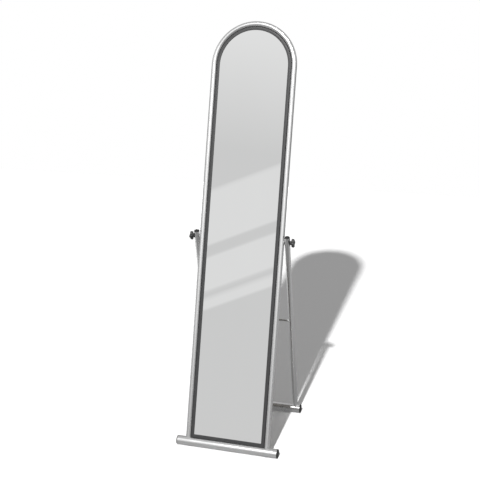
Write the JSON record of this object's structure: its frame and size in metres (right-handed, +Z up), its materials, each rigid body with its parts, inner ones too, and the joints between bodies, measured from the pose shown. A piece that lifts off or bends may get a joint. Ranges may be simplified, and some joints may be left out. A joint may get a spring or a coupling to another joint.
{
  "type": "floor mirror",
  "caption": "Full-length arched mirror in a bent tube frame that stands on a round foot bar and leans on a folding rear stand clamped by star knobs.",
  "frame": {"origin": "on the floor, in the middle of the standing mirror's width and depth", "axes": "+Z up; -Y towards the person who looks into the mirror; +X to that person's right, the object is symmetric about X = 0"},
  "size_m": [0.3846, 0.4886, 1.4507],
  "materials": {
    "silver_steel": "silver powder coat, satin",
    "cap_plastic": "black moulded, satin",
    "knob_plastic": "black moulded, fine grain",
    "spacer_plastic": "grey moulded",
    "zinc_steel": "zinc plated",
    "mirror_glass": "silvered float glass",
    "hardboard": "hardboard with a grey-brown sealed back",
    "gasket": "dark grey extruded profile, satin"
  },
  "bodies": {
    "mirror_frame": {"frame_tube": "silver_steel", "front_foot_bar": "silver_steel", "front_foot_caps": "cap_plastic", "frame_plugs": "zinc_steel", "frame_bolts": "zinc_steel", "frame_saddle_washers": "zinc_steel", "pivot_inserts": "zinc_steel", "pivot_spacers": "spacer_plastic", "mirror_glass": "mirror_glass", "backing_board": "hardboard", "edge_gasket": "gasket", "panel_tabs": "silver_steel", "panel_screws": "zinc_steel"},
    "rear_stand": {"leg_left": "silver_steel", "leg_right": "silver_steel", "leg_top_caps": "cap_plastic", "rear_foot_bar": "silver_steel", "rear_foot_caps": "cap_plastic", "cross_rod": "silver_steel", "leg_plugs": "zinc_steel", "leg_bolts": "zinc_steel", "leg_saddle_washers": "zinc_steel"},
    "left_washer": {"washer_left": "knob_plastic"},
    "right_washer": {"washer_right": "knob_plastic"},
    "left_knob": {"knob_left": "knob_plastic", "stud_left": "zinc_steel"},
    "right_knob": {"knob_right": "knob_plastic", "stud_right": "zinc_steel"}
  },
  "joints": [
    {"name": "rear_stand_fold", "type": "hinge", "parent": "mirror_frame", "child": "rear_stand", "pos_m": [0, 0.00039, 0.71978], "axis": [1, 0, 0], "range_deg": [-23.9, 20]},
    {"name": "left_washer_travel", "type": "slide", "parent": "mirror_frame", "child": "left_washer", "axis": [-1, 0, 0], "range_m": [0, 0.0026]},
    {"name": "left_knob_turn", "type": "hinge", "parent": "left_washer", "child": "left_knob", "pos_m": [-0.185, 0.00039, 0.71978], "axis": [-1, 0, 0], "range_deg": [0, 900]},
    {"name": "right_washer_travel", "type": "slide", "parent": "mirror_frame", "child": "right_washer", "axis": [1, 0, 0], "range_m": [0, 0.0026]},
    {"name": "right_knob_turn", "type": "hinge", "parent": "right_washer", "child": "right_knob", "pos_m": [0.185, 0.00039, 0.71978], "axis": [1, 0, 0], "range_deg": [0, 900]}
  ],
  "couplings": [
    {"joint": "left_washer_travel", "follows": "left_knob_turn", "m_per_rad": 0.00015915},
    {"joint": "right_washer_travel", "follows": "right_knob_turn", "m_per_rad": 0.00015915}
  ]
}
